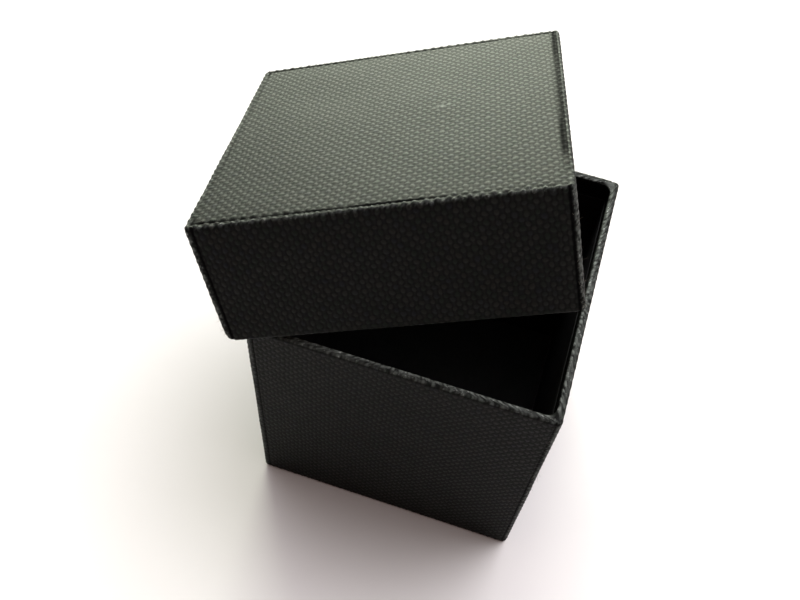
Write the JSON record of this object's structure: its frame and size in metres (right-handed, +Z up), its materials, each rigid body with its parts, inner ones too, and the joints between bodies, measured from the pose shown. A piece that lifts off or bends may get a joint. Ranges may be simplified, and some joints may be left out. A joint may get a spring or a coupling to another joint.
{
  "type": "gift box",
  "caption": "Small square rigid paperboard gift box, as for a ring, with a separate lift-off lid lying askew on its tray; both covered in black canvas-embossed paper.",
  "frame": {"origin": "centre of the tray's underside", "axes": "+Z up out of the tray's open top; the tray's front wall faces -Y and its right wall +X; the lid leans down towards the back left"},
  "size_m": [0.0677, 0.0688, 0.0835],
  "materials": {
    "covering": "black canvas-embossed, slightly waxy",
    "board": "plain grey board",
    "stay_tape": "plain brown gummed paper",
    "lining": "plain matt black"
  },
  "bodies": {
    "base": {"base_floor_board": "board", "base_front_board": "board", "base_back_board": "board", "base_left_board": "board", "base_right_board": "board", "base_stay_front_left": "stay_tape", "base_stay_front_right": "stay_tape", "base_stay_back_left": "stay_tape", "base_stay_back_right": "stay_tape", "base_wrap": "covering", "base_wall_liner": "lining", "base_floor_liner": "lining"},
    "lid": {"lid_top_board": "board", "lid_front_board": "board", "lid_back_board": "board", "lid_left_board": "board", "lid_right_board": "board", "lid_stay_front_left": "stay_tape", "lid_stay_front_right": "stay_tape", "lid_stay_back_left": "stay_tape", "lid_stay_back_right": "stay_tape", "lid_wrap": "covering", "lid_top_liner": "lining"}
  },
  "joints": [
    {"name": "lid_lift", "type": "slide", "parent": "base", "child": "lid", "axis": [0, 0, 1], "range_m": [0, 0.05]}
  ]
}
